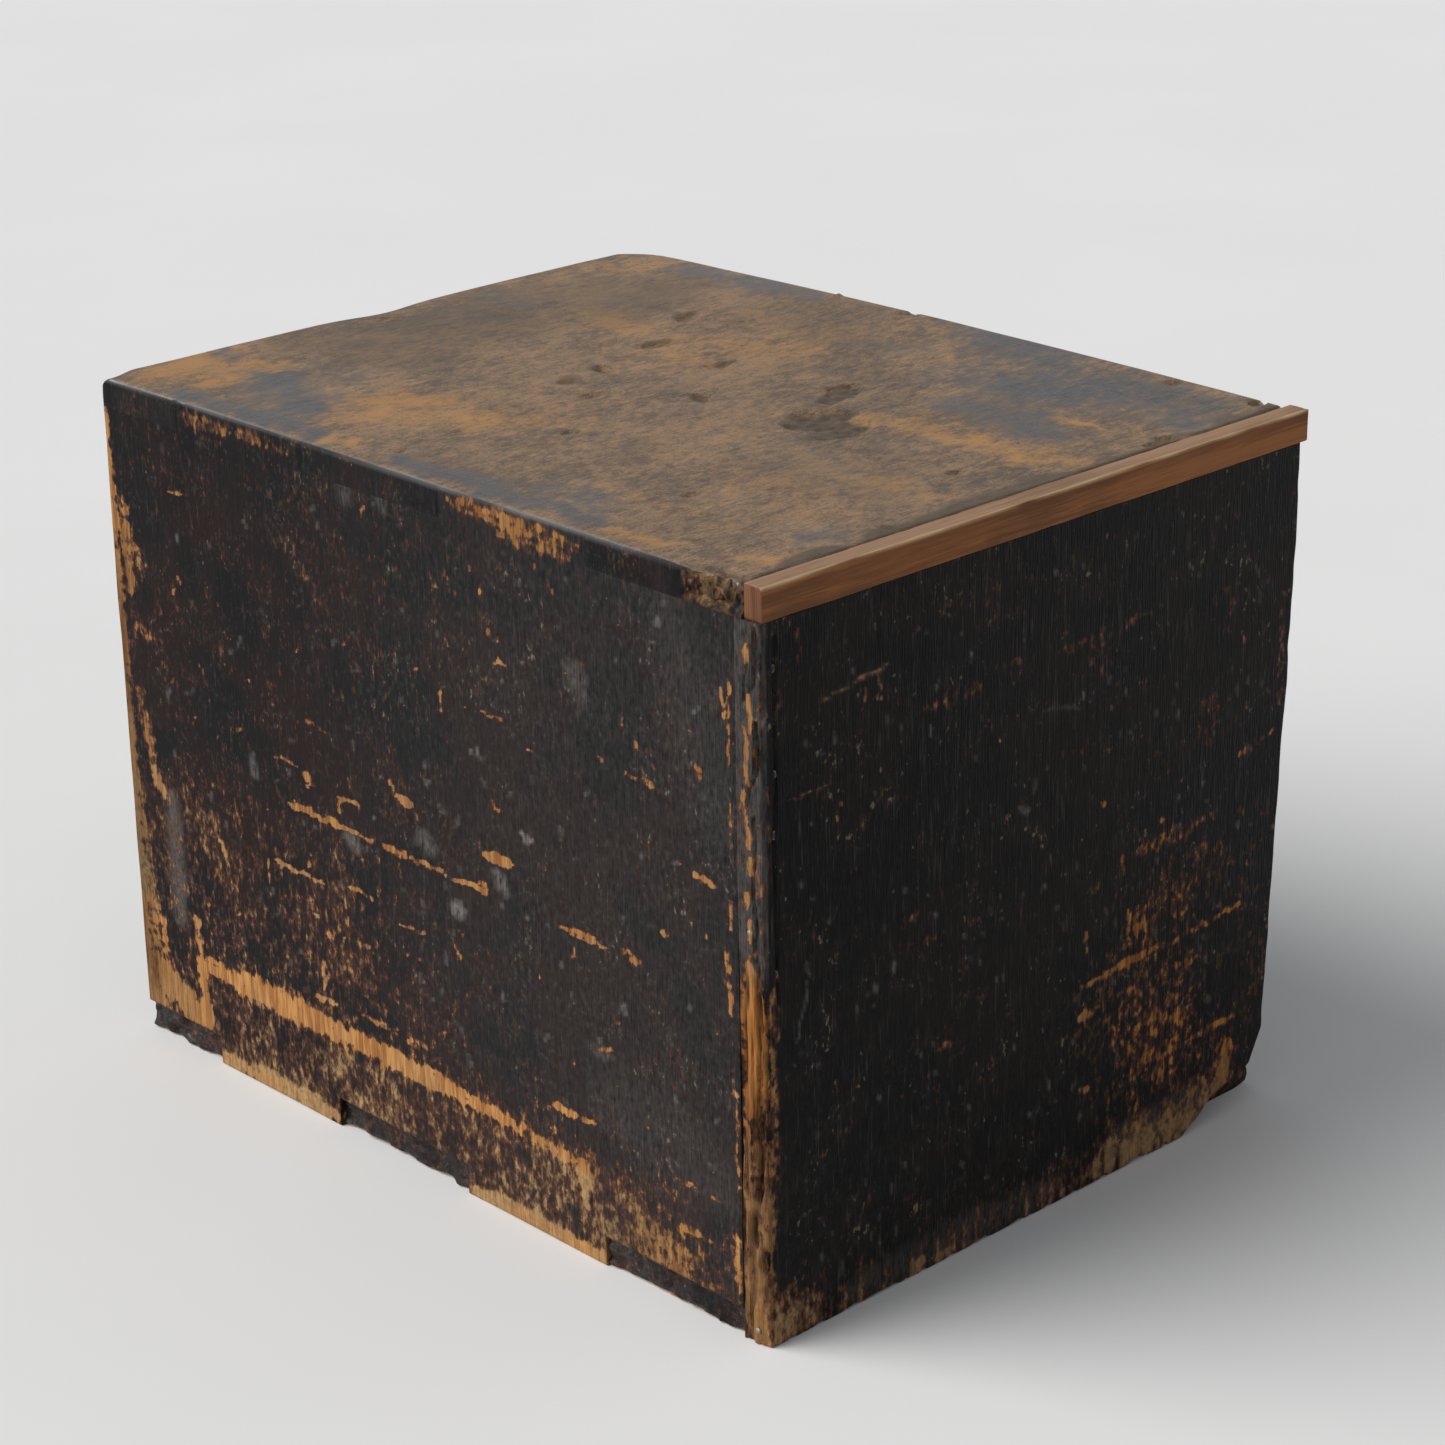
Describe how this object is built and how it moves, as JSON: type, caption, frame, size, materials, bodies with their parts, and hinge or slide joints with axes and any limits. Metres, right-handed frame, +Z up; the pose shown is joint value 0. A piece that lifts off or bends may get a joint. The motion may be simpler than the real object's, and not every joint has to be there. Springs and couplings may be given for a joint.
{
  "type": "stationery chest",
  "caption": "Small finger-jointed wooden chest with a pegged back panel, drawers, a hinged door, a lock and iron ring pulls, dark finish worn to bare wood.",
  "frame": {"origin": "middle of the underside, on the surface that the chest stands on", "axes": "+Z up, the front faces -Y, the back panel faces +Y, +X to the right of someone facing the front"},
  "size_m": [0.324, 0.4308, 0.32],
  "materials": {
    "lacquered_wood": "worn dark lacquer",
    "inner_wood": "bare, planed",
    "cap_wood": "bare, reddish",
    "peg_wood": "bare",
    "iron": "blackened wrought iron"
  },
  "bodies": {
    "case": {"top_board": "lacquered_wood", "bottom_board": "lacquered_wood", "right_side_board": "lacquered_wood", "left_side_board": "lacquered_wood", "back_panel": "lacquered_wood", "cap_strip": "cap_wood", "back_pegs": "peg_wood", "upper_shelf": "inner_wood", "lower_shelf": "inner_wood", "partition": "inner_wood", "small_shelf": "inner_wood", "door_stop": "inner_wood", "upper_hinge_case_leaf": "iron", "lower_hinge_case_leaf": "iron", "upper_hinge_pin": "iron", "lower_hinge_pin": "iron"},
    "door": {"door_panel": "lacquered_wood", "door_top_batten": "lacquered_wood", "door_bottom_batten": "lacquered_wood", "upper_hinge_door_leaf": "iron", "lower_hinge_door_leaf": "iron", "lock_plate": "iron", "lock_case": "iron", "door_pull_washer": "iron", "door_pull_staple": "iron"},
    "door_pull_ring": {"door_pull_ring": "iron"},
    "lock_bolt": {"lock_bolt": "iron"},
    "inkstone_drawer": {"inkstone_drawer_front": "lacquered_wood", "inkstone_drawer_left_side": "inner_wood", "inkstone_drawer_right_side": "inner_wood", "inkstone_drawer_back": "inner_wood", "inkstone_drawer_bottom": "inner_wood", "inkstone_drawer_pull_washer": "iron", "inkstone_drawer_pull_staple": "iron"},
    "inkstone_drawer_pull_ring": {"inkstone_drawer_pull_ring": "iron"},
    "brush_drawer": {"brush_drawer_front": "lacquered_wood", "brush_drawer_left_side": "inner_wood", "brush_drawer_right_side": "inner_wood", "brush_drawer_back": "inner_wood", "brush_drawer_bottom": "inner_wood", "brush_drawer_pull_washer": "iron", "brush_drawer_pull_staple": "iron"},
    "brush_drawer_pull_ring": {"brush_drawer_pull_ring": "iron"},
    "seal_drawer": {"seal_drawer_front": "lacquered_wood", "seal_drawer_left_side": "inner_wood", "seal_drawer_right_side": "inner_wood", "seal_drawer_back": "inner_wood", "seal_drawer_bottom": "inner_wood", "seal_drawer_pull_washer": "iron", "seal_drawer_pull_staple": "iron"},
    "seal_drawer_pull_ring": {"seal_drawer_pull_ring": "iron"},
    "paper_drawer": {"paper_drawer_front": "lacquered_wood", "paper_drawer_left_side": "inner_wood", "paper_drawer_right_side": "inner_wood", "paper_drawer_back": "inner_wood", "paper_drawer_bottom": "inner_wood", "paper_drawer_pull_washer": "iron", "paper_drawer_pull_staple": "iron"},
    "paper_drawer_pull_ring": {"paper_drawer_pull_ring": "iron"}
  },
  "joints": [
    {"name": "door_swing", "type": "hinge", "parent": "case", "child": "door", "pos_m": [-0.1455, -0.2126, 0.166], "axis": [0, 0, -1], "range_deg": [0, 170]},
    {"name": "bolt_slide", "type": "slide", "parent": "door", "child": "lock_bolt", "axis": [1, 0, 0], "range_m": [0, 0.006]},
    {"name": "door_pull_ring_swing", "type": "hinge", "parent": "door", "child": "door_pull_ring", "pos_m": [-0.001, -0.216, 0.2014], "axis": [-1, 0, 0], "range_deg": [-6, 100]},
    {"name": "inkstone_drawer_slide", "type": "slide", "parent": "case", "child": "inkstone_drawer", "axis": [0, -1, 0], "range_m": [0, 0.3]},
    {"name": "inkstone_drawer_pull_ring_swing", "type": "hinge", "parent": "inkstone_drawer", "child": "inkstone_drawer_pull_ring", "pos_m": [0, -0.215, 0.2824], "axis": [-1, 0, 0], "range_deg": [-6, 100]},
    {"name": "brush_drawer_slide", "type": "slide", "parent": "case", "child": "brush_drawer", "axis": [0, -1, 0], "range_m": [0, 0.3]},
    {"name": "brush_drawer_pull_ring_swing", "type": "hinge", "parent": "brush_drawer", "child": "brush_drawer_pull_ring", "pos_m": [0.089, -0.215, 0.2099], "axis": [-1, 0, 0], "range_deg": [-6, 100]},
    {"name": "seal_drawer_slide", "type": "slide", "parent": "case", "child": "seal_drawer", "axis": [0, -1, 0], "range_m": [0, 0.3]},
    {"name": "seal_drawer_pull_ring_swing", "type": "hinge", "parent": "seal_drawer", "child": "seal_drawer_pull_ring", "pos_m": [0.089, -0.215, 0.1369], "axis": [-1, 0, 0], "range_deg": [-6, 100]},
    {"name": "paper_drawer_slide", "type": "slide", "parent": "case", "child": "paper_drawer", "axis": [0, -1, 0], "range_m": [0, 0.3]},
    {"name": "paper_drawer_pull_ring_swing", "type": "hinge", "parent": "paper_drawer", "child": "paper_drawer_pull_ring", "pos_m": [0, -0.215, 0.0584], "axis": [-1, 0, 0], "range_deg": [-6, 100]}
  ]
}
